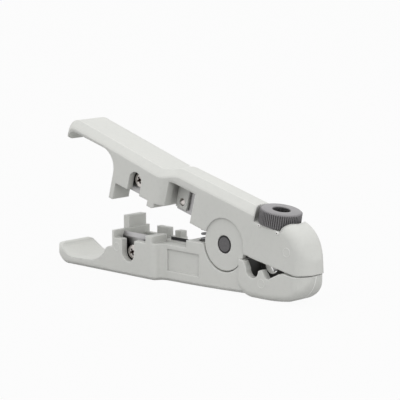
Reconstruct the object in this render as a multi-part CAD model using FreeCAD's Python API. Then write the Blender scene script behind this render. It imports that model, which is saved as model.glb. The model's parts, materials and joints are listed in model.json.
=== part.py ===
import FreeCAD, Part
import math
import os

V = FreeCAD.Vector

# Driving dimensions in millimetres and degrees.
# Lengths along a lever run forward from the hinge axis, so the tail is negative.
# Heights on the lower lever are above the floor it stands on.
# Heights on the upper lever are above the hinge axis, in a frame that turns with the lever.
# Y is zero midway between the sides; the near side is negative.

# Whole tool
overall_length = 126.5
nose_reach = 39.6
hinge_height = 17.6
rest_angle = 15.0
squeeze_angle = 17.4
grip_half = 9.4
waist_half = 6.0
nose_half = 6.6
nose_corner = 5.4
side_gap = 0.1
moving_gap = 0.4

# Lower lever, tail and grip
tail_round = 5.5
tail_corner = 2.5
lower_waist_start = -29.4
lower_blend = 2.6
rim_height = 7.9
rim_wall = 2.3
rim_corner = 3.5
rim_reach = 6.0
scoop_floor = 3.0
scoop_rise = 0.4
scoop_rear_share = 0.31
scoop_front_share = 0.34
scoop_foot = -59.3
scoop_foot_height = 7.9
block_rear = -54.9
block_step = 1.2
block_step_height = 10.2
sole_end = 9.4
sole_rise = 1.0
bottom_chamfer = 1.2

# Lower lever, cutter station
side_wall = 2.7
far_wall = 2.2
wall_top = 13.8
rear_wall = 1.1
rear_wall_top = 16.6
tall_tab_top = 20.9
tall_tab_depth = 3.0
tall_tab_inner = -0.4
tall_tab_outer = 8.6
front_wall_rear = -36.8
front_wall_front = -33.6
front_wall_top = 16.6
front_wall_inner = -1.2
front_gap_floor = 14.0
post_inner = 6.3
station_floor = 4.0
far_tab_rear = -47.4
far_tab_front = -40.9
far_tab_top = 17.0
boss_top = 12.6
boss_far = 1.0
boss_margin = 0.8

# Lower lever, flat-cable station and hinge shoulder
ledge_top = 14.0
ledge_front = -18.8
rib_width = 1.6
rib_height = 0.5
shoulder_top = 16.8
far_waist_top = 14.4
waist_wall = 2.0
slot_floor = 5.0
slot_end_gap = 0.3
panel_rear = -28.7
panel_front = -12.4
panel_low = 4.1
panel_high = 12.2
panel_depth = 0.5

# Lower jaw
jaw_rear = 7.4
jaw_rear_low = 2.6
jaw_post_front = 10.4
jaw_post_top = 13.7
jaw_post_drop = 0.6
notch_one_x = 14.6
notch_one_bottom = 7.5
notch_one_radius = 2.9
tooth_x = 18.8
tooth_top = 10.9
tooth_flat = 0.8
notch_two_x = 21.8
notch_two_bottom = 8.0
notch_two_radius = 1.3
crest_x = 29.3
crest_top = 11.0
crest_half = 2.0
crest_drop = 0.3
dip_x = 34.4
dip_top = 10.6
lip_top = 11.1
belly_rear = 13.5
belly_front = 19.0
belly_radius = 70.0
belly_turn = 9.0
chin_radius = 10.7
chin_turn = 81.0
jaw_round = 2.6
jaw_setback = 0.6
jaw_slot_half = 3.9
jaw_slot_front = 32.0
jaw_slot_floor = 5.0

# Hinge
disc_radius = 9.6
disc_gap = 0.5
disc_sink = 0.5
hub_half = 3.6
hub_radius = 8.2
jaw_skin = 1.0
pin_radius = 2.0
pin_play = 0.05
push_fit = 0.02
pin_head_radius = 3.15
pin_head = 1.0
pin_head_play = 0.2
hinge_ring_radius = 3.3
hinge_ring = 0.6
hinge_ring_depth = 0.3
ring_room = 0.3

# Handle spring, upright just behind the hinge
spring_x = -13.0
spring_radius = 2.9
spring_wire = 0.9
spring_turns = 8
spring_low = 8.6
spring_high = 33.0
spring_room = 0.35
seat_depth = 4.5
turn_facets = 6
wire_facets = 4

# Upper lever
top_height = 18.5
top_tilt = 0.45
saddle_front = -27.0
saddle_drop = 1.95
saddle_radius = 9.0
grip_rise = 2.7
upper_waist_start = -28.0
upper_blend = 4.6
tail_overhang = 1.0
upper_tail_corner = 2.0
tail_top_round = 6.0
tail_under = 13.8
hook_low = 9.9
hook_wall = 3.0
hook_round = 2.6
hook_inner_round = 3.1
grip_cove = 7.6
upper_wall_low = 2.9
upper_tab_rear = -57.6
upper_tab = 2.0
upper_tab_low = -3.7
upper_tab_inner = -0.8
upper_roof = 14.4
foot_rear = -37.6
foot_front = -34.2
foot_low = 0.8
foot_round = 1.0
window_rear = -31.0
window_front = -17.9
window_top = 12.6
waist_low = 1.3
channel_front = 8.8
edge_bevel = 2.8
jaw_line_start = 9.9
jaw_line_rear = 0.45
jaw_line_middle = 1.5
jaw_line_front = 2.5
jaw_line_end = 34.8
lip_rise = 0.33
nose_start = 16.5
nose_lean = 19.0
nose_round = 4.0
brow_x = 24.6
dome_radius = 13.0
dome_turn = 55.0
plate_rear = -30.8
plate_front = -25.3
plate_low = 2.4
plate_sheet = 1.0

# Depth adjuster, measured along its axis from the floor of the knob's pocket
adjuster_x = 18.5
adjuster_floor = 14.4
adjuster_lean = 5.0
pocket_radius = 9.0
knob_radius = 7.6
knob_height = 5.4
knob_lift = 0.4
knob_hole = 3.2
knob_web = 0.8
knob_chamfer = 0.4
knob_ridges = 36
knurl_depth = 0.35
washer_radius = 4.8
pocket_roof = 3.2
screw_radius = 1.5
screw_play = 0.05
screw_head_radius = 2.9
screw_head = 1.8
screw_slot = 0.8
screw_reach = 8.9
screw_ring_radius = 3.1
screw_ring = 0.6
screw_ring_depth = 0.3
carrier_half = 2.1
carrier_length = 11.4
carrier_play = 0.2
carrier_top = 6.3
carrier_step = 10.4
carrier_low = 13.8
thread_end = 10.3
strip_x = 1.0
strip_tip = 17.3
strip_half = 4.0
strip_sheet = 0.6
strip_top = 10.6
strip_screw_depth = 12.2
strip_screw_radius = 0.9
strip_screw_head = 1.6
strip_screw_head_height = 0.8
strip_screw_length = 2.0

# Station blades and their screws
cutter_face = -5.4
cutter_sheet = 0.7
cutter_length = 13.6
blade_bevel = 1.6
lower_cutter_x = -46.3
lower_cutter_edge = 15.9
lower_cutter_root = 5.0
lower_cutter_screw = 8.9
upper_cutter_x = -45.6
upper_cutter_edge = 1.3
upper_cutter_root = 12.0
upper_cutter_screw = 7.6
upper_boss_low = 3.6
upper_boss_far = 0.5
access_radius = 3.35
flat_sheet = 0.7
lower_flat_rear = -32.6
lower_flat_front = -21.6
lower_flat_edge = 15.7
lower_flat_root = 6.2
lower_flat_screw_x = -27.4
lower_flat_screw = 10.0
upper_flat_front = -20.1
upper_flat_edge = 1.3
upper_flat_root = 10.0
upper_flat_screw_x = -28.0
upper_flat_screw = 4.9
station_screw_radius = 1.45
station_screw_head = 2.75
station_screw_head_height = 1.7
station_screw_length = 5.5
short_screw_length = 2.4

# Derived places
hinge_x = overall_length / 2 - nose_reach
tail_x = nose_reach - overall_length
disc_outer = waist_half - disc_sink
disc_inner = hub_half + side_gap
recess_radius = disc_radius + disc_gap
far = overall_length


def path(plane, start, steps):
    """Closed wire of lines and arcs: a step is an end point, or a (through, end) pair for an arc."""
    edges = []
    here = start
    for step in [*steps, start]:
        if isinstance(step[0], tuple):
            edges.append(Part.Arc(plane(here), plane(step[0]), plane(step[1])).toShape())
            here = step[1]
        elif math.dist(here, step) > 1e-6:
            edges.append(Part.makeLine(plane(here), plane(step)))
            here = step
    return Part.Wire(edges)


def sweep(start, heading, turn, radius):
    """Arc step that leaves start at a heading and turns by an angle, both in degrees."""
    side = math.copysign(radius, turn)

    def after(turned):
        first = math.radians(heading)
        last = math.radians(heading + turned)
        return (start[0] + side * (math.sin(last) - math.sin(first)),
                start[1] + side * (math.cos(first) - math.cos(last)))
    return after(turn / 2), after(turn)


def bend(level, other):
    """Point halfway along the arc between level, where the arc is level, and other."""
    run = other[0] - level[0]
    rise = other[1] - level[1]
    slope = math.atan2(rise, abs(run))
    radius = math.hypot(run, rise) / (2 * math.sin(slope))
    halfway = math.copysign(radius * math.sin(slope), run)
    return level[0] + halfway, level[1] + radius * (1 - math.cos(slope))


def plan_step(x_end, y_from, y_to, radius):
    """Two arcs that carry a plan outline from one half-width to another, ending at x_end."""
    rise = y_to - y_from
    angle = math.acos(1 - abs(rise) / (2 * radius))
    turn = math.copysign(math.degrees(angle), rise)
    begin = (x_end - 2 * radius * math.sin(angle), y_from)
    away = sweep(begin, 0.0, turn, radius)
    return begin, away, sweep(away[1], turn, -turn, radius)


def mirrored(start, steps):
    """Steps that lead back along the mirror image of a near-side outline."""
    runs = []
    here = start
    for step in steps:
        through, end = step if isinstance(step[0], tuple) else (None, step)
        runs.append((here, through, end))
        here = end
    back = [(here[0], -here[1])]
    for begin, through, end in reversed(runs):
        target = (begin[0], -begin[1])
        back.append(((through[0], -through[1]), target) if through else target)
    return back


def side_prism(low, high, start, *steps):
    """Side outline (x, z) pushed across the tool from y = low to y = high."""
    face = Part.Face(path(lambda p: V(p[0], low, p[1]), start, steps))
    return face.extrude(V(0, high - low, 0))


def plan_prism(low, high, start, *steps):
    """Near-side plan outline (x, y) and its mirror image, raised from z = low to z = high."""
    whole = [*steps, *mirrored(start, steps)]
    face = Part.Face(path(lambda p: V(p[0], p[1], low), start, whole))
    return face.extrude(V(0, 0, high - low))


def block(x0, x1, y0, y1, z0, z1):
    return Part.makeBox(x1 - x0, y1 - y0, z1 - z0, V(x0, y0, z0))


def disc(x, z, radius, y0, y1):
    """Cylinder across the tool."""
    return Part.makeCylinder(radius, y1 - y0, V(x, y0, z), V(0, 1, 0))


def post(radius, z0, z1, x=0.0):
    """Upright cylinder in the middle plane."""
    return Part.makeCylinder(radius, z1 - z0, V(x, 0, z0))


def both_sides(x, z, radius, inner, outer):
    """Two discs across the tool, one on each side."""
    return disc(x, z, radius, -outer, -inner).fuse(disc(x, z, radius, inner, outer))


def open_notch(x, z, radius, y0, y1, z_open):
    """Round-ended notch across a wall, open towards z_open."""
    low, high = sorted((z, z_open))
    return disc(x, z, radius, y0, y1).fuse(block(x - radius, x + radius, y0, y1, low, high))


def long_edges(shape, height):
    """Edges of the flat face at a height, apart from those that run straight across the tool."""
    flat = [f for f in shape.Faces if f.BoundBox.ZLength < 1e-6 and abs(f.CenterOfMass.z - height) < 1e-6]
    return [e for e in flat[0].Edges if e.BoundBox.XLength > 1e-6]


def push_ring(outer, shaft, thickness):
    """Retaining ring pushed on a shaft, lying on z = 0."""
    return post(outer, 0.0, thickness).cut(post(shaft + push_fit, -1.0, thickness + 1.0))


def pan_screw(radius, head_radius, head_height, length):
    """Screw standing on z = 0, head up."""
    return post(head_radius, 0.0, head_height).fuse(post(radius, -length, 0.0)).removeSplitter()


def face_near(shape, x, y, z):
    """Turns an upright piece so that its top points out of the near side, and sets it at a place."""
    placed = shape.copy()
    placed.rotate(V(0, 0, 0), V(1, 0, 0), 90.0)
    placed.translate(V(x, y, z))
    return placed


def face_far(shape, x, y, z):
    """Turns an upright piece so that its top points out of the far side, and sets it at a place."""
    placed = shape.copy()
    placed.rotate(V(0, 0, 0), V(1, 0, 0), -90.0)
    placed.translate(V(x, y, z))
    return placed


def place_lower(shape):
    """From the lower lever's outline frame to the tool's frame."""
    return shape.translated(V(hinge_x, 0, 0))


def place_upper(shape):
    """From the upper lever's outline frame to the tool's frame, handles open."""
    placed = shape.copy()
    placed.rotate(V(0, 0, 0), V(0, 1, 0), rest_angle)
    placed.translate(V(hinge_x, 0, hinge_height))
    return placed


def on_adjuster(shape):
    """From the adjuster's frame to the upper lever's frame."""
    placed = shape.copy()
    placed.rotate(V(0, 0, 0), V(0, 1, 0), -adjuster_lean)
    placed.translate(V(adjuster_x, 0, adjuster_floor))
    return placed


# Lower lever

def lower_outside():
    """Grip and waist without their top line, with chamfered bottom edges."""
    tail_side = (tail_x, tail_corner - grip_half)
    sole_start = (front_wall_rear, 0.0)
    sole_tip = (sole_end, sole_rise)
    sides = side_prism(
        -grip_half, grip_half,
        (tail_x + tail_round, 0.0),
        sweep((tail_x + tail_round, 0.0), 180.0, -90.0, tail_round),
        (tail_x, tall_tab_top),
        (sole_end, tall_tab_top),
        sole_tip,
        (bend(sole_start, sole_tip), sole_start),
    )
    plan = plan_prism(
        -far, far,
        (tail_x - 1.0, -grip_half),
        *plan_step(lower_waist_start, -grip_half, -waist_half, lower_blend),
        (sole_end + 1.0, -waist_half),
    )
    corners = plan_prism(
        -far, far,
        tail_side,
        sweep(tail_side, -90.0, 90.0, tail_corner),
        (sole_end + 1.0, -grip_half),
    )
    body = sides.common(plan)
    return body.makeChamfer(bottom_chamfer, long_edges(body, 0.0)).common(corners)


def rim_corner_cuts():
    """What the rounded upper corners of the tail's rim leave free."""
    end = block(tail_x - 1.0, tail_x + rim_reach, -grip_half, grip_half, 0.0, rim_height)
    return end.cut(end.makeFillet(rim_corner, long_edges(end, rim_height)))


def lower_top_line():
    """Everything below the line of the rim, the scoop, the rear block and the hinge shoulder."""
    rim_side = rim_height - rim_wall / 2
    scoop_rear = (tail_x + rim_wall, rim_side)
    scoop_span = scoop_foot - scoop_rear[0]
    scoop_start = (scoop_rear[0] + scoop_rear_share * scoop_span, scoop_floor)
    scoop_end = (scoop_foot - scoop_front_share * scoop_span, scoop_floor + scoop_rise)
    foot = (scoop_foot, scoop_foot_height)
    step = (block_rear - block_step, block_step_height)
    post_top = jaw_post_top - jaw_post_drop
    return side_prism(
        -far, far,
        (tail_x, -1.0),
        (tail_x, rim_side),
        sweep((tail_x, rim_side), 90.0, -180.0, rim_wall / 2),
        (bend(scoop_start, scoop_rear), scoop_start),
        scoop_end,
        (bend(scoop_end, foot), foot),
        (bend(step, foot), step),
        (block_rear, block_step_height),
        (block_rear, shoulder_top),
        (0.0, shoulder_top),
        (jaw_rear, post_top),
        (sole_end, post_top),
        (sole_end, -1.0),
    )


def cutter_station_cuts():
    """Pocket, wall tops, screw notch and wall gap of the rear station."""
    inside = block_rear + rear_wall
    near = -grip_half + side_wall
    return [
        block(inside, front_wall_rear, near, grip_half - far_wall, station_floor, far),
        block(inside, front_wall_rear, -far, far, wall_top, far),
        block(block_rear - 1.0, inside, -far, far, rear_wall_top, far),
        block(front_wall_rear, front_wall_front, -far, far, front_wall_top, far),
        block(front_wall_rear, front_wall_front, front_wall_inner, post_inner, front_gap_floor, far),
        open_notch(lower_cutter_x, lower_cutter_screw, access_radius, -far, near, far),
    ]


def flat_station_cuts():
    """Ledge with a rib beside the blade, far wall top, blade slot, driver notch and the bare panel."""
    slot_far = waist_half - waist_wall
    return [
        block(front_wall_front, ledge_front, -far, -rib_width, ledge_top, far),
        block(front_wall_front, ledge_front, -rib_width, 0.0, ledge_top + rib_height, far),
        block(front_wall_front, ledge_front, 0.0, far, far_waist_top, far),
        block(lower_flat_rear - slot_end_gap, ledge_front, 0.0, slot_far, slot_floor, far),
        open_notch(lower_flat_screw_x, lower_flat_screw, access_radius, slot_far - 1.0, far, far),
        block(panel_rear, panel_front, -far, -waist_half + panel_depth, panel_low, panel_high),
    ]


def jaw_outside():
    """Lower jaw before its notches, with rounded belly edges and a nose rounded in plan."""
    start = (jaw_rear, jaw_rear_low)
    belly = (belly_rear, 0.0)
    rise = sweep((belly_front, 0.0), 0.0, belly_turn, belly_radius)
    chin = sweep(rise[1], belly_turn, chin_turn, chin_radius)
    sides = side_prism(
        -nose_half, nose_half,
        start, (bend(belly, start), belly), (belly_front, 0.0), rise, chin,
        (chin[1][0], jaw_post_top),
        (jaw_rear, jaw_post_top),
    )
    side_end = (nose_reach - jaw_setback - nose_corner, -nose_half)
    plan = plan_prism(
        -far, far,
        (jaw_rear, -waist_half),
        (jaw_rear + nose_half - waist_half, -nose_half),
        side_end,
        sweep(side_end, 0.0, 90.0, nose_corner),
    )
    jaw = sides.common(plan)
    return jaw.makeFillet(jaw_round, long_edges(jaw, 0.0))


def jaw_profile():
    """Side outline of the notched jaw edge, reaching well below and ahead of the jaw."""
    shoulder_one = notch_one_bottom + notch_one_radius
    lean = notch_two_radius * math.sqrt(0.5)
    shoulder_two = notch_two_bottom + notch_two_radius - lean
    crest_side = crest_top - crest_drop
    return side_prism(
        -far, far,
        (jaw_rear - 1.0, -1.0),
        (jaw_rear - 1.0, jaw_post_top),
        (jaw_rear, jaw_post_top),
        (jaw_post_front, jaw_post_top - jaw_post_drop),
        (notch_one_x - notch_one_radius, shoulder_one),
        ((notch_one_x, notch_one_bottom), (notch_one_x + notch_one_radius, shoulder_one)),
        (tooth_x - tooth_flat / 2, tooth_top),
        (tooth_x + tooth_flat / 2, tooth_top),
        (notch_two_x - lean, shoulder_two),
        ((notch_two_x, notch_two_bottom), (notch_two_x + lean, shoulder_two)),
        (crest_x - crest_half, crest_side),
        ((crest_x, crest_top), (crest_x + crest_half, crest_side)),
        ((dip_x, dip_top), (nose_reach + 1.0, lip_top)),
        (nose_reach + 1.0, -1.0),
    )


def lower_jaw():
    """Notched jaw with a skin that hides the front of the hinge discs."""
    jaw = jaw_outside().common(jaw_profile())
    return jaw.cut(both_sides(0.0, hinge_height, recess_radius, hub_half, nose_half - jaw_skin))


def make_lower_lever():
    body = lower_outside().common(lower_top_line())
    body = body.cut([rim_corner_cuts()] + cutter_station_cuts() + flat_station_cuts())
    body = body.cut(both_sides(0.0, hinge_height, recess_radius, hub_half, far))
    half_boss = cutter_length / 2 - boss_margin
    body = body.fuse([
        lower_jaw(),
        disc(0.0, hinge_height, hub_radius, -hub_half, hub_half),
        block(block_rear - tall_tab_depth, block_rear, tall_tab_inner, tall_tab_outer,
              scoop_foot_height, tall_tab_top),
        block(far_tab_rear, far_tab_front, grip_half - far_wall, grip_half, station_floor, far_tab_top),
        block(lower_cutter_x - half_boss, lower_cutter_x + half_boss,
              cutter_face + cutter_sheet, boss_far, station_floor - 1.0, boss_top),
    ])
    pilot = station_screw_radius + screw_play
    spring_outer = spring_radius + spring_wire / 2
    return body.cut([
        block(sole_end, jaw_slot_front, -jaw_slot_half, jaw_slot_half, jaw_slot_floor, far),
        disc(0.0, hinge_height, pin_radius + push_fit, -far, far),
        post(spring_outer + spring_room, spring_low, far, spring_x),
        disc(lower_cutter_x, lower_cutter_screw, pilot, cutter_face, cutter_face + station_screw_length),
        disc(lower_flat_screw_x, lower_flat_screw, pilot, flat_sheet - station_screw_length, flat_sheet),
    ]).removeSplitter()


# Upper lever

def lip_point():
    """Foremost point of the upper lever, on its underside."""
    rest = math.radians(rest_angle)
    base = jaw_line_front - lip_rise * jaw_line_end
    x = (nose_reach - base * math.sin(rest)) / (math.cos(rest) + lip_rise * math.sin(rest))
    return V(x, 0, base + lip_rise * x)


def crest_edges(shape):
    """Edges round the upward faces, apart from the rear one and those between two of them."""
    edges = []
    for face in shape.Faces:
        u0, u1, v0, v1 = face.ParameterRange
        if face.normalAt((u0 + u1) / 2, (v0 + v1) / 2).z > 0.6:
            edges.extend(face.Edges)
    front = max(e.BoundBox.XMax for e in edges)
    return [e for e in edges if e.BoundBox.XLength > 1e-6 or e.BoundBox.XMax > front - 0.01]


def upper_nose():
    """Domed nose ahead of the knob, its front leaning out towards the jaw line."""
    lip = lip_point()
    brow = (brow_x, top_height)
    dome = sweep(brow, 0.0, -dome_turn, dome_radius)
    foot_run = hinge_height / math.tan(math.radians(dome_turn))
    foot = (dome[1][0] + foot_run, dome[1][1] - hinge_height)
    nose = side_prism(
        -nose_half, nose_half,
        (nose_start, foot[1]), (nose_start, top_height), brow, dome, foot,
    )
    nose.rotate(V(0, 0, 0), V(0, 1, 0), -top_tilt)
    side_end = (lip.x - nose_corner, -nose_half)
    walls = plan_prism(-far, far, (0.0, -nose_half), side_end, sweep(side_end, 0.0, 90.0, nose_corner))
    walls.rotate(lip, V(0, 1, 0), -nose_lean)
    nose = nose.common(walls)
    return nose.makeFillet(nose_round, crest_edges(nose))


def upper_rear():
    """Grip and waist up to the knob: saddled top line and bevelled top edges."""
    tail = tail_x - tail_overhang
    rise = math.radians(grip_rise)
    climb = math.acos((1 + math.cos(rise) - saddle_drop / saddle_radius) / 2)
    saddle_run = saddle_radius * (2 * math.sin(climb) + math.sin(rise))
    saddle = (saddle_front - saddle_run, top_height - saddle_drop)
    swell = sweep(saddle, -grip_rise, grip_rise + math.degrees(climb), saddle_radius)
    level = sweep(swell[1], math.degrees(climb), -math.degrees(climb), saddle_radius)
    grip_run = saddle[0] - tail - tail_top_round * (1 + math.sin(rise))
    tail_side = (tail, saddle[1] + grip_run * math.tan(rise) - tail_top_round * math.cos(rise))
    sides = side_prism(
        -grip_half, grip_half,
        tail_side,
        sweep(tail_side, 90.0, -90.0 - grip_rise, tail_top_round),
        saddle, swell, level,
        (adjuster_x, top_height),
        (adjuster_x, -hinge_height),
        (tail, -hinge_height),
    )
    plan = plan_prism(
        -far, far,
        (tail - 1.0, -grip_half),
        *plan_step(upper_waist_start, -grip_half, -waist_half, upper_blend),
        *plan_step(jaw_line_start + upper_blend, -waist_half, -nose_half, upper_blend),
        (adjuster_x + 1.0, -nose_half),
    )
    tail_edge = (tail, upper_tail_corner - grip_half)
    corners = plan_prism(
        -far, far,
        tail_edge,
        sweep(tail_edge, -90.0, 90.0, upper_tail_corner),
        (adjuster_x + 1.0, -grip_half),
    )
    body = sides.common(plan)
    body = body.makeChamfer(edge_bevel, long_edges(body, top_height)).common(corners)
    body.rotate(V(0, 0, 0), V(0, 1, 0), -top_tilt)
    return body


def upper_underside():
    """Everything above the lever's underside line."""
    tail = tail_x - tail_overhang
    ahead = lip_point().x + 1.0
    jaw_start = (jaw_line_start, jaw_line_rear)
    jaw_middle = ((jaw_line_start + jaw_line_end) / 2, jaw_line_middle)
    jaw_end = (jaw_line_end, jaw_line_front)
    cove_rear = (upper_tab_rear - grip_cove, tail_under)
    tilt = math.radians(top_tilt)
    hook_side = (tail - (hook_low + hook_round) * math.sin(tilt)) / math.cos(tilt)
    hook_rear = (tail + hook_wall, hook_low)
    hook_front = (tail + hook_wall + hook_inner_round, tail_under)
    return side_prism(
        -far, far,
        (tail - 1.0, far),
        (ahead, far),
        (ahead, jaw_line_front + lip_rise * (ahead - jaw_line_end)),
        jaw_end,
        (jaw_middle, jaw_start),
        (jaw_line_start, waist_low),
        (window_front, waist_low),
        (window_front, upper_wall_low),
        (foot_front, upper_wall_low),
        (foot_front, foot_low + foot_round),
        sweep((foot_front, foot_low + foot_round), -90.0, -90.0, foot_round),
        (foot_rear, foot_low),
        (foot_rear, upper_wall_low),
        (upper_tab_rear, upper_wall_low),
        (upper_tab_rear, tail_under - grip_cove),
        (sweep((upper_tab_rear, tail_under - grip_cove), 90.0, 90.0, grip_cove)[0], cove_rear),
        hook_front,
        (bend(hook_front, hook_rear), hook_rear),
        (hook_side + hook_round, hook_low),
        sweep((hook_side + hook_round, hook_low), 180.0, -90.0, hook_round),
        (tail - 1.0, hook_low + hook_round),
    )


def hook_corner_cuts():
    """What the rounded lower corners of the upper lever's hook leave free."""
    tail = tail_x - tail_overhang
    front = tail + hook_wall + hook_inner_round
    end = block(tail - 1.0, front, -grip_half, grip_half, hook_low, hook_low + 2 * hook_round)
    return end.cut(end.makeFillet(hook_round, long_edges(end, hook_low)))


def upper_station_cuts():
    """Cutter cavity, spring channel, window, driver notches and room for the lower lever's tall tab."""
    wall_inner = grip_half - side_wall
    closed = math.radians(squeeze_angle - rest_angle)
    tab_rear = block_rear - tall_tab_depth - moving_gap
    tab_room = tall_tab_top - hinge_height + moving_gap - tab_rear * math.sin(closed)
    return [
        block(upper_tab_rear + upper_tab, foot_rear, -wall_inner, wall_inner, -far, upper_roof),
        block(foot_front, channel_front, -disc_inner, disc_inner, -far, upper_roof),
        block(window_rear, window_front, -far, -disc_inner + 1.0, -far, window_top),
        open_notch(upper_cutter_x, upper_cutter_screw, access_radius, -far, -wall_inner, -far),
        open_notch(upper_flat_screw_x, upper_flat_screw, access_radius, disc_inner - 1.0, far, -far),
        block(tab_rear, block_rear + moving_gap, upper_tab_inner, far, -far, tab_room),
    ]


def adjuster_cuts():
    """Knob pocket, screw bore, ring room and the blade carrier's guide slot."""
    guide = carrier_half + carrier_play
    half = carrier_length / 2 + carrier_play
    ring_end = pocket_roof + screw_ring + screw_ring_depth + ring_room
    cuts = [
        post(pocket_radius, 0.0, far),
        post(screw_radius + screw_play, -pocket_roof - 1.0, 1.0),
        post(screw_ring_radius + ring_room, -ring_end, -pocket_roof),
        block(-half, half, -guide, guide, -far, -ring_end),
    ]
    return [on_adjuster(cut) for cut in cuts]


def spring_seat():
    """Boss under the upper roof whose end lies flat on the spring while the handles are open."""
    low = spring_high - hinge_height
    seat = post(disc_inner - side_gap, low, low + seat_depth, spring_x)
    seat.rotate(V(0, 0, 0), V(0, 1, 0), -rest_angle)
    return seat


def hinge_cuts():
    """Sunk disc faces, pin bore, head counterbore and ring recess."""
    head_room = pin_head_radius + pin_head_play
    ring_floor = disc_outer - hinge_ring_depth - hinge_ring - side_gap
    return [
        both_sides(0.0, 0.0, disc_radius, disc_outer, far),
        disc(0.0, 0.0, pin_radius + pin_play, -far, far),
        disc(0.0, 0.0, head_room, -far, -disc_outer + pin_head + side_gap),
        disc(0.0, 0.0, hinge_ring_radius + ring_room, ring_floor, far),
    ]


def make_upper_lever():
    body = upper_rear().fuse(upper_nose()).common(upper_underside())
    body = body.cut([hook_corner_cuts()] + upper_station_cuts())
    half_boss = cutter_length / 2 - boss_margin
    body = body.fuse([
        both_sides(0.0, 0.0, disc_radius, disc_inner, disc_outer),
        block(upper_tab_rear, upper_tab_rear + upper_tab, -grip_half, upper_tab_inner,
              upper_tab_low, upper_roof),
        block(upper_cutter_x - half_boss, upper_cutter_x + half_boss,
              cutter_face + cutter_sheet, upper_boss_far, upper_boss_low, upper_roof),
        block(plate_rear, plate_front, -plate_sheet, 0.0, plate_low, upper_roof),
        spring_seat(),
    ])
    pilot = station_screw_radius + screw_play
    body = body.cut(adjuster_cuts() + hinge_cuts() + [
        disc(upper_cutter_x, upper_cutter_screw, pilot, cutter_face, cutter_face + station_screw_length),
        disc(upper_flat_screw_x, upper_flat_screw, pilot, -plate_sheet - 1.0, 0.0),
    ])
    return body.removeSplitter()


# Hinge pieces and spring

def make_hinge_pin():
    shank = disc(0.0, 0.0, pin_radius, -disc_outer, disc_outer)
    return shank.fuse(disc(0.0, 0.0, pin_head_radius, -disc_outer, -disc_outer + pin_head)).removeSplitter()


def make_hinge_clip():
    ring = push_ring(hinge_ring_radius, pin_radius, hinge_ring)
    return face_far(ring, 0.0, disc_outer - hinge_ring_depth - hinge_ring, 0.0)


def make_handle_spring():
    """Compression coil drawn with few facets, from the lower seat to the upper one."""
    climb = (spring_high - spring_low - spring_wire) / (spring_turns * turn_facets)
    angles = [2 * math.pi * corner / wire_facets for corner in range(wire_facets)]
    wire = spring_wire / 2
    ring = [V(spring_radius + wire * math.cos(angle), 0, wire * math.sin(angle)) for angle in angles]
    sections = []
    for station in range(spring_turns * turn_facets + 1):
        section = Part.makePolygon(ring + ring[:1])
        section.rotate(V(0, 0, 0), V(0, 0, 1), 360.0 * station / turn_facets)
        section.translate(V(spring_x, 0, spring_low + wire + climb * station))
        sections.append(section)
    return Part.makeLoft(sections, True, True)


# Station blades

def sheet_blade(x0, x1, face, other, root, edge, screw_x, screw_z):
    """Sheet blade: the bevel is ground on the first face, so the edge lies in the other one."""
    ground = edge - math.copysign(blade_bevel, edge - root)
    corners = [(face, root), (other, root), (other, edge), (face, ground), (face, root)]
    section = Part.Face(Part.makePolygon([V(x0, y, z) for y, z in corners]))
    hole = disc(screw_x, screw_z, station_screw_radius + screw_play, -grip_half, grip_half)
    return section.extrude(V(x1 - x0, 0, 0)).cut(hole)


def cutter_blade(x, root, edge, screw):
    half = cutter_length / 2
    return sheet_blade(x - half, x + half, cutter_face, cutter_face + cutter_sheet, root, edge, x, screw)


def station_screw(length):
    return pan_screw(station_screw_radius, station_screw_head, station_screw_head_height, length)


def cutter_screw(x, z):
    return face_near(station_screw(station_screw_length), x, cutter_face, z)


def flat_screw(x, z, length):
    return face_far(station_screw(length), x, flat_sheet, z)


# Depth adjuster

def make_knob():
    """Knurled knob with a bevelled rim and a deep hole over the screw head."""
    step = 2 * math.pi / knob_ridges
    valley = knob_radius - knurl_depth
    points = []
    for ridge in range(knob_ridges):
        for turn, radius in ((0.0, knob_radius), (0.5, valley)):
            angle = (ridge + turn) * step
            points.append(V(radius * math.cos(angle), radius * math.sin(angle), knob_lift))
    knurled = knob_height - knob_chamfer
    knob = Part.Face(Part.makePolygon(points + points[:1])).extrude(V(0, 0, knurled))
    rim = Part.makeCone(valley, valley - knob_chamfer, knob_chamfer, V(0, 0, knob_lift + knurled))
    return knob.fuse(rim).cut([post(knob_hole, knob_lift + knob_web, far), post(screw_radius, -1.0, far)])


def make_adjuster_screw():
    """Slotted screw, its head sunk in the knob."""
    head_low = knob_lift + knob_web
    head = post(screw_head_radius, head_low, head_low + screw_head)
    screw = post(screw_radius, -screw_reach, head_low).fuse(head).removeSplitter()
    return screw.cut(block(-far, far, -screw_slot / 2, screw_slot / 2, head_low + screw_head / 2, far))


def make_adjuster_clip():
    ring = push_ring(screw_ring_radius, screw_radius, screw_ring)
    return ring.translated(V(0, 0, -pocket_roof - screw_ring_depth - screw_ring))


def make_friction_washer():
    washer = post(washer_radius, 0.0, knob_lift - screw_play)
    return washer.cut(post(screw_radius + 2 * screw_play, -far, far))


def make_blade_carrier():
    """Carrier nut: threaded block whose far half reaches down behind the blade."""
    half = carrier_length / 2
    carrier = block(-half, half, -carrier_half, carrier_half, -carrier_step, -carrier_top)
    carrier = carrier.fuse(block(-half, half, strip_sheet / 2, carrier_half, -carrier_low, -carrier_step))
    pilot = disc(strip_x, -strip_screw_depth, strip_screw_radius + screw_play, 0.0, carrier_half)
    return carrier.removeSplitter().cut([post(screw_radius + screw_play, -thread_end, far), pilot])


def make_strip_blade():
    """Pointed blade with a ground edge on both slopes of its tip."""
    shoulder = strip_half - strip_tip
    blade = side_prism(
        -strip_sheet / 2, strip_sheet / 2,
        (strip_x, -strip_tip),
        (strip_x + strip_half, shoulder),
        (strip_x + strip_half, -strip_top),
        (strip_x - strip_half, -strip_top),
        (strip_x - strip_half, shoulder),
    )
    return blade.cut(disc(strip_x, -strip_screw_depth, strip_screw_radius + screw_play, -1.0, 1.0))


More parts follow.
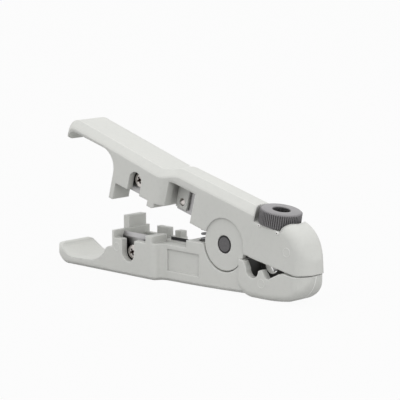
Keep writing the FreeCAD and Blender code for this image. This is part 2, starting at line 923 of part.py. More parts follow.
def make_strip_blade_screw():
    screw = pan_screw(strip_screw_radius, strip_screw_head, strip_screw_head_height, strip_screw_length)
    return face_near(screw, strip_x, -strip_sheet / 2, -strip_screw_depth)


lower_nodes = {
    "lower_lever": make_lower_lever(),
    "hinge_pin": make_hinge_pin().translated(V(0, 0, hinge_height)),
    "hinge_clip": make_hinge_clip().translated(V(0, 0, hinge_height)),
    "handle_spring": make_handle_spring(),
    "lower_cutter_blade": cutter_blade(lower_cutter_x, lower_cutter_root, lower_cutter_edge,
                                       lower_cutter_screw),
    "lower_cutter_screw": cutter_screw(lower_cutter_x, lower_cutter_screw),
    "lower_flat_blade": sheet_blade(lower_flat_rear, lower_flat_front, flat_sheet, 0.0,
                                    lower_flat_root, lower_flat_edge, lower_flat_screw_x, lower_flat_screw),
    "lower_flat_screw": flat_screw(lower_flat_screw_x, lower_flat_screw, station_screw_length - side_gap),
}
upper_nodes = {
    "upper_lever": make_upper_lever(),
    "upper_cutter_blade": cutter_blade(upper_cutter_x, upper_cutter_root, upper_cutter_edge,
                                       upper_cutter_screw),
    "upper_cutter_screw": cutter_screw(upper_cutter_x, upper_cutter_screw),
    "upper_flat_blade": sheet_blade(plate_rear, upper_flat_front, flat_sheet, 0.0,
                                    upper_flat_root, upper_flat_edge, upper_flat_screw_x, upper_flat_screw),
    "upper_flat_screw": flat_screw(upper_flat_screw_x, upper_flat_screw, short_screw_length),
}
adjuster_nodes = {
    "adjuster_knob": make_knob(),
    "adjuster_screw": make_adjuster_screw(),
    "adjuster_clip": make_adjuster_clip(),
    "friction_washer": make_friction_washer(),
    "blade_carrier": make_blade_carrier(),
    "strip_blade": make_strip_blade(),
    "strip_blade_screw": make_strip_blade_screw(),
}

os.makedirs("parts", exist_ok=True)
placed = {name: place_lower(shape) for name, shape in lower_nodes.items()}
placed.update({name: place_upper(shape) for name, shape in upper_nodes.items()})
placed.update({name: place_upper(on_adjuster(shape)) for name, shape in adjuster_nodes.items()})
for name, shape in placed.items():
    print(name, shape.isValid(), len(shape.Solids), round(shape.Volume, 2))
    shape.exportStep("parts/" + name + ".step")
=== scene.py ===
import json
import math

import bmesh
import bpy
from mathutils import Matrix, Quaternion, Vector


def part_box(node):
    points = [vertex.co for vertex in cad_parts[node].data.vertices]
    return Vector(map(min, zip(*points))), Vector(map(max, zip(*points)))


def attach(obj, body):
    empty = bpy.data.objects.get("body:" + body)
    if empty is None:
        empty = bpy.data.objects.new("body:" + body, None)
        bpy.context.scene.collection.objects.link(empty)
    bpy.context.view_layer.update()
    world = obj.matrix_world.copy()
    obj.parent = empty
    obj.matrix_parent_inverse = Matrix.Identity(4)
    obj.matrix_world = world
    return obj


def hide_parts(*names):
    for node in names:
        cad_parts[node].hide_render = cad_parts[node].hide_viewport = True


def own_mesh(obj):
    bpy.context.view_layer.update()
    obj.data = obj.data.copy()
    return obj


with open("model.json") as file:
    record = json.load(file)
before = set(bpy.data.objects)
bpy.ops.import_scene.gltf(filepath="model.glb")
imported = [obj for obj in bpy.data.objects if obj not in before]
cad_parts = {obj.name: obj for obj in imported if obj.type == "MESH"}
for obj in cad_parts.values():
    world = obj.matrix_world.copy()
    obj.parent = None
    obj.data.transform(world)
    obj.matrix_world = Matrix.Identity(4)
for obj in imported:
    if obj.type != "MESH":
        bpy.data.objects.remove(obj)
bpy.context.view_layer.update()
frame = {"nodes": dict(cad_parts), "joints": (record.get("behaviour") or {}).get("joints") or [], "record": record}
joints = {joint["name"]: joint for joint in frame["joints"]}
hinge = Vector(joints["lever_hinge"]["pos_m"])

# Sizes in metres, angles in degrees unless the name says radians
mm = 0.001
tolerance = 0.01 * mm
level_limit = 0.9

# Camera
camera_aim = hinge + Vector((-0.0208, 0.0034, 0.0128))
camera_distance = 0.6847
camera_turn = -45.75
camera_rise = 9.455
camera_roll = -0.18
camera_lens = 166.5
camera_sensor = 36.0

# Light and floor
sky_strength = 0.86
key_power = 2.2
key_size = 0.8
key_place = Vector((-0.12, -0.18, 1.16))
front_power = 2.0
front_size = 0.8
front_place = Vector((1.1, -0.33, 0.22))
floor_size = 6.0
floor_roughness = 0.9
floor_white_share = 0.95

# Station screws
screw_facets = 48
screw_crown = 0.75 * mm
screw_crown_steps = 6
screw_shank_radius = 1.45 * mm
screw_head_height = 1.7 * mm
screw_tip = 1.1 * mm
screw_tip_share = 0.22
screw_smooth = 35.0
cross_length = 3.5 * mm
cross_width = 1.05 * mm
cross_depth = 1.1 * mm
cross_foot_share = 0.55
cross_turn_radians = 0.35

# Depth knob, from the floor of its pocket
knob_ridges = 60
knob_facets_per_ridge = 4
knob_crest_points = 2
knob_radius = 7.6 * mm
knob_valley = 7.25 * mm
knob_low = 0.4 * mm
knob_high = 5.8 * mm
knob_rim = 0.45 * mm
knob_rim_steps = 3
knob_hole = 3.2 * mm
knob_hole_bevel = 0.25 * mm
knob_web_top = 1.2 * mm
knob_bore = 1.55 * mm
knob_smooth = 28.0

# Handle spring
spring_turns = 13
spring_steps = 30
spring_wire = 0.9 * mm
spring_facets = 12
spring_smooth = 40.0

# Moulded marks on the near side
pip_radius = 0.62 * mm
pip_height = 0.5 * mm
pip_facets = 16
pip_crown = 0.2 * mm
pip_crown_steps = 4
pip_hole = 0.26 * mm
pip_hole_depth = 0.8 * pip_height
pip_smooth = 40.0
ring_radius = 1.55 * mm
ring_width = 0.3 * mm
ring_height = 0.14 * mm
ring_slope = 0.3 * ring_width
ring_facets = 40
ring_smooth = 30.0
mark_sink = 0.05 * mm
nose_side = 6.6 * mm
grip_side = 9.4 * mm

# Where the marks are: body, ahead of the hinge axis, half width there, above the hinge axis, handles open
pip_places = (
    ("upper", 18.1 * mm, nose_side, 9.3 * mm),
    ("upper", 26.6 * mm, nose_side, 7.65 * mm),
)
ring_places = (
    ("upper", 30.8 * mm, nose_side, 1.3 * mm),
    ("lower", 18.9 * mm, nose_side, -11.5 * mm),
    ("lower", -52.5 * mm, grip_side, -7.1 * mm),
)

# Where the plastic's finish changes, from the hinge axis: the parting line, painted white as its highlight, and
# the jaw slot, painted dark as its shade
seam_half = 0.2 * mm
seam_relief = 0.8
lower_seam = 28.2 * mm
no_seam = 1.0
jaw_slot_rear = 9.4 * mm
jaw_slot_front = 32.0 * mm
jaw_slot_half = 3.93 * mm
crest_above = 13.0 * mm
scoop_behind = -57.5 * mm
lever_tilt = 15.0

# Softened edges, the mask of painted edge highlights and the reach of painted shade in hollows
small_edge = 0.8 * mm
broad_edge = 1.6 * mm
edge_samples = 4
edge_gain = 8.0
hollow_samples = 6
plastic_hollow_reach = 7 * mm
mark_hollow_reach = 0.8 * mm
knob_hollow_reach = 10 * mm
knob_hollow_gain = 1.5
blade_hollow_reach = 4 * mm
blade_hollow_gain = 1.3
screw_hollow_reach = 1.6 * mm
screw_hollow_gain = 1.5
pin_rim = 0.5 * mm

# How much of each effect the colours take: specks, painted edge highlights, and painted shade in hollows, in the
# jaw slot and at the pin's rim
speck_share = 0.35
edge_highlight_share = 0.85
hollow_shade_share = 0.55
slot_shade_share = 0.9
rim_shade_share = 0.85

# Colours in linear red, green and blue; a pair is the two ends of a finish that varies
white = (1.0, 1.0, 1.0)
floor_grey = (0.4, 0.4, 0.4)
plastic_greys = ((0.690, 0.698, 0.668), (0.738, 0.740, 0.706))
plastic_speck = (0.50, 0.505, 0.485)
# painted highlight colour for edges and the parting line
plastic_painted_highlight = (0.97, 0.97, 0.94)
# painted shade colour of the plastic's hollows
plastic_hollow_shade = (0.20, 0.20, 0.185)
# painted shade colour for the inside of the jaw slot
slot_painted_shade = (0.035, 0.034, 0.033)
# pale greys of the moulded marks are painted highlight; their hollow colour is painted shade
pip_highlight_greys = ((0.86, 0.86, 0.8342), (0.96, 0.96, 0.9312))
ring_highlight_greys = ((0.74, 0.74, 0.7178), (0.82, 0.82, 0.7954))
mark_hollow_shade = (0.16, 0.11, 0.08)
knob_greys = ((0.235, 0.226, 0.234), (0.285, 0.275, 0.284))
# painted shade colour of the knob's hollows
knob_hollow_shade = (0.006, 0.005, 0.006)
steel_greys = ((0.355, 0.352, 0.358), (0.60, 0.59, 0.59))
# painted shade colour of the blade where other pieces close round it
steel_hollow_shade = (0.06, 0.06, 0.062)
nickel_greys = ((0.40, 0.36, 0.34), (0.78, 0.75, 0.73))
# painted shade colour of the screw's recess
nickel_hollow_shade = (0.085, 0.055, 0.042)
wire_greys = ((0.16, 0.16, 0.17), (0.33, 0.33, 0.34))
oxide_blacks = ((0.095, 0.092, 0.096), (0.155, 0.151, 0.154))
# painted shade colour at the hinge pin's rim
pin_rim_shade = (0.010, 0.009, 0.009)
# near-black greys of the blade, a painted dark reflection
blade_reflection_greys = ((0.020, 0.020, 0.022), (0.055, 0.054, 0.056))
nylon_whites = ((0.66, 0.65, 0.60), (0.76, 0.75, 0.71))
brass_yellows = ((0.50, 0.36, 0.14), (0.72, 0.55, 0.26))

# How noise is stretched along X, Y and Z: a share under one draws it out into lines along that axis
evenly = (1.0, 1.0, 1.0)
along_blade = (0.03, 1.0, 1.0)
along_black_blade = (0.04, 1.0, 1.0)
across_screw = (1.0, 0.1, 1.0)
round_coil = (0.3, 0.3, 1.0)
across_carrier = (1.0, 0.05, 1.0)


# Shader tools

def opaque(colour):
    """Red, green and blue with full alpha."""
    return (*colour, 1.0)


class Tone:
    """A value that changes over a surface; a sum with it adds a Math node to its finish."""

    def __init__(self, finish, socket):
        self.finish = finish
        self.socket = socket

    def math(self, operation, first, second=0.0):
        return self.finish.node("ShaderNodeMath", {"operation": operation}, {0: first, 1: second})

    def __add__(self, other):
        return self.math("ADD", self, other)

    def __radd__(self, other):
        return self.math("ADD", other, self)

    def __sub__(self, other):
        return self.math("SUBTRACT", self, other)

    def __rsub__(self, other):
        return self.math("SUBTRACT", other, self)

    def __mul__(self, other):
        return self.math("MULTIPLY", self, other)

    def __rmul__(self, other):
        return self.math("MULTIPLY", other, self)

    def __abs__(self):
        return self.math("ABSOLUTE", self)

    def __gt__(self, other):
        return self.math("GREATER_THAN", self, other)

    def __lt__(self, other):
        return self.math("LESS_THAN", self, other)

    def root(self):
        return self.math("SQRT", self)

    def at_most(self, other):
        return self.math("MINIMUM", self, other)


class Finish:
    """A material with one Principled surface."""

    def __init__(self, name, surface):
        self.material = bpy.data.materials.new(name)
        self.material.use_nodes = True
        self.tree = self.material.node_tree
        self.surface = self.tree.nodes["Principled BSDF"]
        for socket, value in surface.items():
            self.surface.inputs[socket].default_value = value

    def node(self, kind, settings, inputs, output=0):
        made = self.tree.nodes.new(kind)
        for name, value in settings.items():
            setattr(made, name, value)
        for place, value in inputs.items():
            self.feed(made.inputs[place], value)
        return Tone(self, made.outputs[output])

    def feed(self, socket, value):
        if isinstance(value, Tone):
            self.tree.links.new(value.socket, socket)
        else:
            socket.default_value = value

    def paint(self, socket, value):
        self.feed(self.surface.inputs[socket], value)

    def place(self, stretch=evenly):
        """Object coordinates, drawn out along an axis where its stretch is under one."""
        seat = self.node("ShaderNodeTexCoord", {}, {}, "Object")
        return self.node("ShaderNodeMapping", {}, {"Vector": seat, "Scale": stretch})

    def from_hinge(self):
        """How far a point is ahead of the hinge axis, across the tool and above the hinge axis."""
        place = self.place()
        x, y, z = [self.node("ShaderNodeSeparateXYZ", {}, {0: place}, axis) for axis in "XYZ"]
        return x - hinge.x, y, z - hinge.z

    def noise(self, size, detail=2.0, stretch=evenly):
        """Noise from 0 to 1 whose patches are about one size across."""
        inputs = {"Vector": self.place(stretch), "Scale": 1.0 / size, "Detail": detail}
        return self.node("ShaderNodeTexNoise", {"noise_dimensions": "3D"}, inputs, "Fac")

    def blend(self, share, first, second):
        """Colour between two colours."""
        first, second = [end if isinstance(end, Tone) else opaque(end) for end in (first, second)]
        return self.node("ShaderNodeMix", {"data_type": "RGBA"}, {0: share, 6: first, 7: second}, 2)

    def turn(self, share, first, second):
        """Direction between two directions."""
        return self.node("ShaderNodeMix", {"data_type": "VECTOR"}, {0: share, 4: first, 5: second}, 1)

    def rounded(self, radius):
        """Normal of the surface with its edges rounded to a radius."""
        return self.node("ShaderNodeBevel", {"samples": edge_samples}, {"Radius": radius})

    def hollow(self, reach, alone=True):
        """1 deep in a hollow of the piece alone, or of all pieces, and 0 in the open."""
        settings = {"only_local": alone, "samples": hollow_samples}
        return 1.0 - self.node("ShaderNodeAmbientOcclusion", settings, {"Distance": reach}, "AO")

    def edge(self, normal):
        """1 where a rounded normal is far from the plain one."""
        plain = self.node("ShaderNodeNewGeometry", {}, {}, "Normal")
        settings = {"operation": "DOT_PRODUCT"}
        along = self.node("ShaderNodeVectorMath", settings, {0: plain, 1: normal}, "Value")
        return (edge_gain * (1.0 - along)).at_most(1.0)

    def relief(self, height, depth, normal=None):
        """Fine relief, on a rounded normal where one is given."""
        inputs = {"Height": height, "Distance": depth}
        if normal:
            inputs["Normal"] = normal
        self.paint("Normal", self.node("ShaderNodeBump", {}, inputs))


# Finishes

def crest(run, rise):
    """1 round the upper lever's bevelled top."""
    tilt = math.radians(lever_tilt)
    return run * math.sin(tilt) + rise * math.cos(tilt) > crest_above


def scoop(run, rise):
    """1 round the lower lever's scooped tail, however high."""
    return run < scoop_behind


def moulded_plastic(name, seam_from, broad):
    """Pale grey plastic: fine grain, painted highlights along its edges, painted shade in its hollows and in the
    jaw slot, and a parting line ahead of seam_from whose white is a painted highlight.
    """
    finish = Finish(name, {"IOR": 1.48})
    cloud = finish.noise(16 * mm)
    grain = finish.noise(0.42 * mm, 3.0)
    speck = finish.noise(1.6 * mm, 1.0)
    run, side, rise = finish.from_hinge()
    seam = (abs(side) < seam_half) * (run > seam_from)
    in_jaw = (run > jaw_slot_rear) * (run < jaw_slot_front) * (rise < 0.0)
    slot = (abs(side) < jaw_slot_half) * in_jaw
    small = finish.rounded(small_edge)
    normal = finish.turn(broad(run, rise), small, finish.rounded(broad_edge))
    colour = finish.blend(cloud, *plastic_greys)
    colour = finish.blend((speck - 0.5) * speck_share, colour, plastic_speck)
    # painted highlight: edges, convex and concave, are lightened as if they catch the light
    colour = finish.blend(finish.edge(small) * edge_highlight_share, colour, plastic_painted_highlight)
    # painted shade: the plastic darkens where its own hollows would be in shade
    colour = finish.blend(finish.hollow(plastic_hollow_reach) * hollow_shade_share, colour, plastic_hollow_shade)
    # parting line: the seam is real in the relief, its white colour is a painted highlight
    colour = finish.blend(seam, colour, plastic_painted_highlight)
    # painted shade: the jaw slot's inside walls are painted near black as the shade deep in the slot
    colour = finish.blend(slot * slot_shade_share, colour, slot_painted_shade)
    finish.paint("Base Color", colour)
    finish.paint("Roughness", 0.46 + 0.16 * grain)
    finish.relief(grain + seam_relief * seam, 0.03 * mm, normal)
    return finish.material


def highlit_mark_plastic(name, greys):
    """Paler plastic of the moulded marks: the paleness is a painted highlight, and their hollows take painted
    shade.
    """
    finish = Finish(name, {"IOR": 1.48})
    cloud = finish.noise(0.5 * mm, 3.0)
    colour = finish.blend(cloud, *greys)
    # painted shade in the marks' dimples and edges, over pale greys that are painted highlight
    finish.paint("Base Color", finish.blend(finish.hollow(mark_hollow_reach), colour, mark_hollow_shade))
    finish.paint("Roughness", 0.25 + 0.15 * cloud)
    finish.relief(cloud, 0.005 * mm)
    return finish.material


def knob_plastic():
    """Dark satin plastic, with painted shade in its hollows."""
    finish = Finish("knob_plastic", {"IOR": 1.55})
    cloud = finish.noise(5 * mm)
    grain = finish.noise(0.25 * mm, 3.0)
    hollow = (finish.hollow(knob_hollow_reach) * knob_hollow_gain).at_most(1.0)
    colour = finish.blend(cloud, *knob_greys)
    # painted shade: the knob darkens to near black in its ridges and hole
    finish.paint("Base Color", finish.blend(hollow, colour, knob_hollow_shade))
    finish.paint("Roughness", 0.26 + 0.14 * grain + 0.5 * hollow)
    finish.relief(grain, 0.02 * mm)
    return finish.material


def ground_steel():
    """Blade steel with grinding lines along the tool, and painted shade where the other pieces close round it."""
    finish = Finish("ground_steel", {"Metallic": 1.0})
    lines = finish.noise(0.16 * mm, 3.0, along_blade)
    cloud = finish.noise(4 * mm)
    colour = finish.blend(lines * 0.6 + cloud * 0.4, *steel_greys)
    # painted shade: darker where the other pieces close round the blade
    shade_from_parts = (blade_hollow_gain * finish.hollow(blade_hollow_reach, False)).at_most(1.0)
    finish.paint("Base Color", finish.blend(shade_from_parts, colour, steel_hollow_shade))
    finish.paint("Roughness", 0.24 + 0.22 * lines)
    finish.relief(lines, 0.015 * mm)
    return finish.material


def bright_nickel():
    """Plated screw: bright, with faint tool marks and painted shade in its recess."""
    finish = Finish("bright_nickel", {"Metallic": 1.0})
    cloud = finish.noise(0.9 * mm, 3.0)
    marks = finish.noise(0.12 * mm, 2.0, across_screw)
    bright = finish.blend(cloud, *nickel_greys)
    # painted shade in the cross recess
    hollow = (finish.hollow(screw_hollow_reach) * screw_hollow_gain).at_most(1.0)
    finish.paint("Base Color", finish.blend(hollow, bright, nickel_hollow_shade))
    finish.paint("Roughness", 0.12 + 0.2 * marks)
    finish.relief(marks, 0.01 * mm)
    return finish.material


def drawn_wire():
    """Dark spring wire with drawing lines."""
    finish = Finish("drawn_wire", {"Metallic": 1.0})
    lines = finish.noise(0.2 * mm, 2.0, round_coil)
    finish.paint("Base Color", finish.blend(lines, *wire_greys))
    finish.paint("Roughness", 0.28 + 0.2 * lines)
    finish.relief(lines, 0.01 * mm)
    return finish.material


def black_oxide():
    """Dark steel of the pins: a matt black skin, cloudy, with painted shade round the hinge pin's rim."""
    finish = Finish("black_oxide", {"Metallic": 0.55})
    cloud = finish.noise(0.8 * mm, 4.0)
    grain = finish.noise(0.14 * mm, 2.0)
    low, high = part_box("hinge_pin")
    run, _, rise = finish.from_hinge()
    # painted shade: the pin's face darkens near its rim, as the gap round it would shade it
    rim = (run * run + rise * rise).root() > (high.z - low.z) / 2 - pin_rim
    colour = finish.blend(cloud, *oxide_blacks)
    finish.paint("Base Color", finish.blend(rim * rim_shade_share, colour, pin_rim_shade))
    finish.paint("Roughness", 0.36 + 0.22 * grain)
    finish.relief(grain, 0.012 * mm)
    return finish.material


def dark_reflection_steel():
    """Blade of plain steel whose near-black colour is a painted dark reflection, lighter along its ground lines.
    """
    finish = Finish("dark_reflection_steel", {"Metallic": 0.4})
    lines = finish.noise(0.18 * mm, 3.0, along_black_blade)
    cloud = finish.noise(3 * mm)
    # painted reflection: near black stands in for the dark surroundings the blade reflects
    finish.paint("Base Color", finish.blend(lines * 0.5 + cloud * 0.5, *blade_reflection_greys))
    finish.paint("Roughness", 0.4 + 0.2 * lines)
    finish.relief(lines, 0.012 * mm)
    return finish.material


def natural_nylon():
    """Milky washer."""
    finish = Finish("natural_nylon", {"IOR": 1.53})
    cloud = finish.noise(1.2 * mm, 3.0)
    finish.paint("Base Color", finish.blend(cloud, *nylon_whites))
    finish.paint("Roughness", 0.38 + 0.12 * cloud)
    finish.relief(cloud, 0.01 * mm)
    return finish.material


def milled_brass():
    """Brass with milling lines across it."""
    finish = Finish("milled_brass", {"Metallic": 1.0})
    lines = finish.noise(0.2 * mm, 3.0, across_carrier)
    finish.paint("Base Color", finish.blend(lines, *brass_yellows))
    finish.paint("Roughness", 0.25 + 0.2 * lines)
    finish.relief(lines, 0.015 * mm)
    return finish.material


# Modelling tools

def begin(name):
    """Names the primitive just added, moves its placing into its mesh and opens it for editing."""
    piece = bpy.context.object
    piece.name = name
    piece.data.name = name
    bpy.ops.object.transform_apply(location=True, rotation=True, scale=True)
    bpy.ops.object.mode_set(mode="EDIT")
    bpy.ops.mesh.select_all(action="DESELECT")
    return piece


def pick_faces(piece, test):
    """Selects just the faces whose centre and normal pass a test."""
    bpy.ops.mesh.select_mode(type="FACE")
    bpy.ops.mesh.select_all(action="DESELECT")
    mesh = bmesh.from_edit_mesh(piece.data)
    for face in mesh.faces:
        face.select_set(test(face.calc_center_median(), face.normal))
    bmesh.update_edit_mesh(piece.data)


def pick_points(piece, test):
    """Selects just the vertices whose place passes a test, and what lies between them."""
    bpy.ops.mesh.select_mode(type="VERT")
    bpy.ops.mesh.select_all(action="DESELECT")
    mesh = bmesh.from_edit_mesh(piece.data)
    for point in mesh.verts:
        point.select_set(test(point.co))
    mesh.select_flush(True)
    bmesh.update_edit_mesh(piece.data)


def faces_up(centre, normal):
    """Whether a face is level and looks up."""
    return normal.z > level_limit


def faces_down(centre, normal):
    """Whether a face is level and looks down."""
    return normal.z < -level_limit


def draw_out(height):
    """Draws what is selected out along Z."""
    bpy.ops.mesh.extrude_region_move(TRANSFORM_OT_translate={"value": (0.0, 0.0, height)})


def widen(share, height=0.0):
    """Resizes what is selected about the Z axis, across it alone."""
    bpy.ops.transform.resize(value=(share, share, 1.0), center_override=(0.0, 0.0, height))


def round_edges(size, steps):
    """Rounds the edges of what is selected."""
    bpy.ops.mesh.bevel(offset=size, segments=steps, profile=0.5, affect="EDGES")


def draw_rings(rings):
    """Draws a new circle out through rings of given radius and height and joins its ends."""
    bpy.ops.mesh.select_mode(type="EDGE")
    bpy.ops.mesh.select_all(action="SELECT")
    radius, height = rings[0]
    for next_radius, next_height in rings[1:]:
        draw_out(next_height - height)
        widen(next_radius / radius)
        radius, height = next_radius, next_height
    bpy.ops.mesh.select_all(action="SELECT")
    bpy.ops.mesh.remove_doubles(threshold=tolerance)


def smooth_below(angle):
    """Smooths the active piece over edges below an angle."""
    bpy.ops.object.shade_smooth_by_angle(angle=math.radians(angle))


def close_editing(angle):
    """Points all faces outwards, leaves edit mode and smooths edges below an angle."""
    bpy.ops.mesh.select_all(action="SELECT")
    bpy.ops.mesh.normals_make_consistent(inside=False)
    bpy.ops.object.mode_set(mode="OBJECT")
    smooth_below(angle)


def carve(piece, cutter):
    """Cuts one piece out of another and removes the cutter."""
    bpy.ops.object.select_all(action="DESELECT")
    bpy.context.view_layer.objects.active = piece
    piece.select_set(True)
    cut = piece.modifiers.new("cut", "BOOLEAN")
    cut.operation = "DIFFERENCE"
    cut.object = cutter
    bpy.ops.object.modifier_apply(modifier=cut.name)
    bpy.data.objects.remove(cutter)


def finish_piece(piece, material, body, slot, *nodes):
    """Gives a piece its finish, the body it rides on and the CAD nodes it stands for."""
    piece.data.materials.clear()
    piece.data.materials.append(material)
    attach(piece, body)
    if nodes:
        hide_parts(*nodes)


def set_marks(mark, material, places):
    """Copies a mark that stands on z = 0 to its places on the near side, and removes the first one."""
    turn = Matrix.Rotation(math.radians(90.0), 4, "X")
    for number, (body, ahead, half, above) in enumerate(places, start=1):
        twin = mark.copy()
        twin.data = mark.data.copy()
        twin.name = "%s_%d" % (mark.name, number)
        twin.data.name = twin.name
        place = Matrix.Translation((hinge.x + ahead, mark_sink - half, hinge.z + above))
        twin.data.transform(place @ turn)
        bpy.context.scene.collection.objects.link(twin)
        finish_piece(twin, material, body, "body_plastic")
    bpy.data.objects.remove(mark)


# Pieces

def cross_bar(turn):
    """Cutter for one bar of a screw's cross recess, narrower at its foot."""
    bpy.ops.mesh.primitive_cube_add(size=1.0, rotation=(0.0, 0.0, turn))
    bar = bpy.context.object
    bar.scale = (cross_length, cross_width, 2 * cross_depth)
    bar.location = (0.0, 0.0, screw_head_height)
    begin("cross_bar")
    pick_points(bar, lambda point: point.z < screw_head_height)
    widen(cross_foot_share, screw_head_height)
    bpy.ops.object.mode_set(mode="OBJECT")
    return bar


def cross_screw(head_radius, length):
    """Pan-head screw with a cross recess and a pointed tip, standing head up on z = 0."""
    bpy.ops.mesh.primitive_cylinder_add(vertices=screw_facets, radius=head_radius, depth=screw_head_height,
                                        location=(0.0, 0.0, screw_head_height / 2))
    screw = begin("cross_screw")
    pick_faces(screw, faces_up)
    round_edges(screw_crown, screw_crown_steps)
    pick_faces(screw, faces_down)
    bpy.ops.mesh.inset(thickness=head_radius - screw_shank_radius)
    draw_out(screw_tip - length)
    draw_out(-screw_tip)
    widen(screw_tip_share, -length)
    close_editing(screw_smooth)
    carve(screw, cross_bar(cross_turn_radians))
    carve(screw, cross_bar(cross_turn_radians + math.pi / 2))
    smooth_below(screw_smooth)
    return screw


def station_screw(node, body, material):
    """Screw that stands for a node: cutter screws face the near side, the others the far one."""
    low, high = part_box(node)
    head_radius = (high.x - low.x) / 2
    near = "cutter" in node
    screw = cross_screw(head_radius, high.y - low.y - screw_head_height)
    head_side = low.y + screw_head_height if near else high.y - screw_head_height
    turn = Matrix.Rotation(math.radians(90.0 if near else -90.0), 4, "X")
    seat = Matrix.Translation(((low.x + high.x) / 2, head_side, (low.z + high.z) / 2))
    screw.data.transform(seat @ turn)
    screw.name = node + "_detailed"
    screw.data.name = screw.name
    finish_piece(screw, material, body, "screw_nickel", node)


def depth_knob(material):
    """Knob with fine ridges round its side, a smooth rim and a deep hole."""
    joint = joints["knob_turn"]
    facets = knob_ridges * knob_facets_per_ridge
    step = 2 * math.pi / facets
    side_top = knob_high - knob_rim
    rim = []
    for number in range(1, knob_rim_steps + 1):
        turn = math.pi / 2 * number / knob_rim_steps
        rim.append((knob_valley - knob_rim * (1 - math.cos(turn)), side_top + knob_rim * math.sin(turn)))
    bpy.ops.mesh.primitive_circle_add(vertices=facets, radius=knob_bore, fill_type="NOTHING",
                                      location=(0.0, 0.0, knob_low))
    knob = begin("depth_knob")
    draw_rings([
        (knob_bore, knob_low), (knob_valley, knob_low), (knob_valley, side_top), *rim,
        (knob_hole + knob_hole_bevel, knob_high), (knob_hole, knob_high - knob_hole_bevel),
        (knob_hole, knob_web_top), (knob_bore, knob_web_top), (knob_bore, knob_low),
    ])

    def on_ridge(point):
        outside = point.xy.length > knob_valley - 2 * tolerance
        slot = round(math.atan2(point.y, point.x) / step) % knob_facets_per_ridge
        return outside and point.z < side_top + tolerance and slot < knob_crest_points

    pick_points(knob, on_ridge)
    widen(knob_radius / knob_valley)
    close_editing(knob_smooth)
    axis = Vector((0.0, 0.0, 1.0)).rotation_difference(Vector(joint["axis"]))
    knob.data.transform(Matrix.Translation(joint["pos_m"]) @ axis.to_matrix().to_4x4())
    finish_piece(knob, material, "knob", "knob_plastic", "adjuster_knob")


def coil_spring(material):
    """Round-wire coil in the place of the facetted one."""
    low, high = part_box("handle_spring")
    middle = (low + high) / 2
    coil_radius = (high.y - low.y) / 2 - spring_wire / 2
    bpy.ops.mesh.primitive_circle_add(vertices=spring_facets, radius=spring_wire / 2, fill_type="NOTHING",
                                      location=(coil_radius, 0.0, spring_wire / 2),
                                      rotation=(math.pi / 2, 0.0, 0.0))
    spring = begin("coil_spring")
    bpy.ops.object.mode_set(mode="OBJECT")
    climb = spring.modifiers.new("climb", "SCREW")
    climb.axis = "Z"
    climb.steps = spring_steps
    climb.render_steps = spring_steps
    climb.iterations = spring_turns
    climb.screw_offset = (high.z - low.z - spring_wire) / spring_turns
    bpy.ops.object.modifier_apply(modifier=climb.name)
    bpy.ops.object.mode_set(mode="EDIT")
    bpy.ops.mesh.select_mode(type="EDGE")
    bpy.ops.mesh.select_all(action="DESELECT")
    bpy.ops.mesh.select_non_manifold()
    bpy.ops.mesh.fill_holes(sides=0)
    close_editing(spring_smooth)
    spring.data.transform(Matrix.Translation((middle.x, 0.0, low.z)))
    finish_piece(spring, material, "lower", "spring_steel", "handle_spring")
    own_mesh(spring)


def pocket_pips(material):
    """Small moulded pips below the knob's pocket, each with a dimple."""
    bpy.ops.mesh.primitive_cylinder_add(vertices=pip_facets, radius=pip_radius, depth=pip_height,
                                        location=(0.0, 0.0, pip_height / 2))
    pip = begin("pocket_pip")
    pick_faces(pip, faces_up)
    round_edges(pip_crown, pip_crown_steps)
    pick_faces(pip, lambda centre, normal: faces_up(centre, normal) and centre.xy.length < tolerance)
    bpy.ops.mesh.inset(thickness=pip_radius - pip_crown - pip_hole)
    draw_out(-pip_hole_depth)
    close_editing(pip_smooth)
    set_marks(pip, material, pip_places)


def ejector_rings(material):
    """Thin raised rings that the mould's ejector pins leave on the near side."""
    inner = ring_radius - ring_width / 2
    outer = ring_radius + ring_width / 2
    bpy.ops.mesh.primitive_circle_add(vertices=ring_facets, radius=inner, fill_type="NOTHING")
    ring = begin("ejector_ring")
    draw_rings([
        (inner, 0.0), (outer, 0.0),
        (outer - ring_slope, ring_height), (inner + ring_slope, ring_height), (inner, 0.0),
    ])
    close_editing(ring_smooth)
    set_marks(ring, material, ring_places)


# Stage

def white_to_eye(tree):
    """1 for rays from the camera and for what metal and clear things show, otherwise 0."""
    paths = tree.nodes.new("ShaderNodeLightPath")
    total = paths.outputs["Is Camera Ray"]
    for name in ("Is Glossy Ray", "Is Transmission Ray"):
        either = tree.nodes.new("ShaderNodeMath")
        either.operation = "MAXIMUM"
        tree.links.new(total, either.inputs[0])
        tree.links.new(paths.outputs[name], either.inputs[1])
        total = either.outputs[0]
    return total


def mix_surfaces(tree, share, first, second, output):
    """Feeds an output with a mix of two shaders."""
    mix = tree.nodes.new("ShaderNodeMixShader")
    tree.links.new(share, mix.inputs[0])
    tree.links.new(first.outputs[0], mix.inputs[1])
    tree.links.new(second.outputs[0], mix.inputs[2])
    tree.links.new(mix.outputs[0], tree.nodes[output].inputs["Surface"])


def make_sky():
    """Even white light that looks pure white itself."""
    world = bpy.data.worlds.new("studio")
    bpy.context.scene.world = world
    world.use_nodes = True
    tree = world.node_tree
    soft = tree.nodes["Background"]
    soft.inputs["Color"].default_value = opaque(white)
    soft.inputs["Strength"].default_value = sky_strength
    plain = tree.nodes.new("ShaderNodeBackground")
    plain.inputs["Color"].default_value = opaque(white)
    plain.inputs["Strength"].default_value = 1.0
    mix_surfaces(tree, white_to_eye(tree), soft, plain, "World Output")


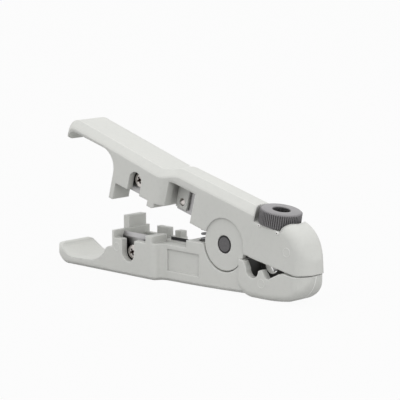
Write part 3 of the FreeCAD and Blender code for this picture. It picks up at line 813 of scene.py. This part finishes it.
def make_floor():
    """Floor that looks nearly white and sends back less light than a white one."""
    bpy.ops.mesh.primitive_plane_add(size=floor_size)
    floor = bpy.context.object
    floor.name = "floor"
    material = bpy.data.materials.new("pale_floor")
    material.use_nodes = True
    tree = material.node_tree
    paper = tree.nodes["Principled BSDF"]
    paper.inputs["Base Color"].default_value = opaque(floor_grey)
    paper.inputs["Roughness"].default_value = floor_roughness
    plain = tree.nodes.new("ShaderNodeEmission")
    plain.inputs["Color"].default_value = opaque(white)
    share = tree.nodes.new("ShaderNodeMath")
    share.operation = "MULTIPLY"
    share.inputs[1].default_value = floor_white_share
    tree.links.new(white_to_eye(tree), share.inputs[0])
    mix_surfaces(tree, share.outputs[0], paper, plain, "Material Output")
    floor.data.materials.append(material)


def make_lamp(name, place, power, size):
    """Square soft lamp that faces the tool."""
    lamp = bpy.data.lights.new(name, "AREA")
    lamp.energy = power
    lamp.size = size
    holder = bpy.data.objects.new(name, lamp)
    holder.location = place
    holder.rotation_euler = (place - camera_aim).to_track_quat("Z", "Y").to_euler()
    bpy.context.scene.collection.objects.link(holder)


def make_camera():
    """Camera on a line from its aim, rolled a little about that line."""
    rise = math.radians(camera_rise)
    turn = math.radians(camera_turn)
    back = Vector((math.cos(turn) * math.cos(rise), math.sin(turn) * math.cos(rise), math.sin(rise)))
    roll = Quaternion((0.0, 0.0, 1.0), math.radians(camera_roll))
    camera = bpy.data.cameras.new("camera")
    camera.lens = camera_lens
    camera.sensor_width = camera_sensor
    holder = bpy.data.objects.new("camera", camera)
    holder.location = camera_aim + camera_distance * back
    holder.rotation_euler = (back.to_track_quat("Z", "Y") @ roll).to_euler()
    bpy.context.scene.collection.objects.link(holder)
    bpy.context.scene.camera = holder


# Making the scene

bpy.ops.object.select_all(action="DESELECT")
bpy.context.scene.view_settings.view_transform = "Standard"
make_sky()
make_floor()
make_lamp("key_lamp", key_place, key_power, key_size)
make_lamp("front_lamp", front_place, front_power, front_size)
make_camera()

upper_plastic = moulded_plastic("upper_plastic", no_seam, crest)
lower_plastic = moulded_plastic("lower_plastic", lower_seam, scoop)
finishes = {
    "body_plastic": lower_plastic,
    "knob_plastic": knob_plastic(),
    "blade_steel": ground_steel(),
    "blade_black": dark_reflection_steel(),
    "screw_nickel": bright_nickel(),
    "spring_steel": drawn_wire(),
    "pin_steel": black_oxide(),
    "washer_nylon": natural_nylon(),
    "carrier_brass": milled_brass(),
}
for part in frame["record"]["subparts"]:
    node = frame["nodes"][part["node"]]
    node.material_slots[0].material = finishes[part["material_slot"]]
frame["nodes"]["upper_lever"].material_slots[0].material = upper_plastic

for node, body in (("lower_cutter_screw", "lower"), ("upper_cutter_screw", "upper"),
                   ("lower_flat_screw", "lower"), ("upper_flat_screw", "upper")):
    station_screw(node, body, finishes["screw_nickel"])
depth_knob(finishes["knob_plastic"])
coil_spring(finishes["spring_steel"])
pocket_pips(highlit_mark_plastic("pip_highlight_plastic", pip_highlight_greys))
ejector_rings(highlit_mark_plastic("ring_highlight_plastic", ring_highlight_greys))
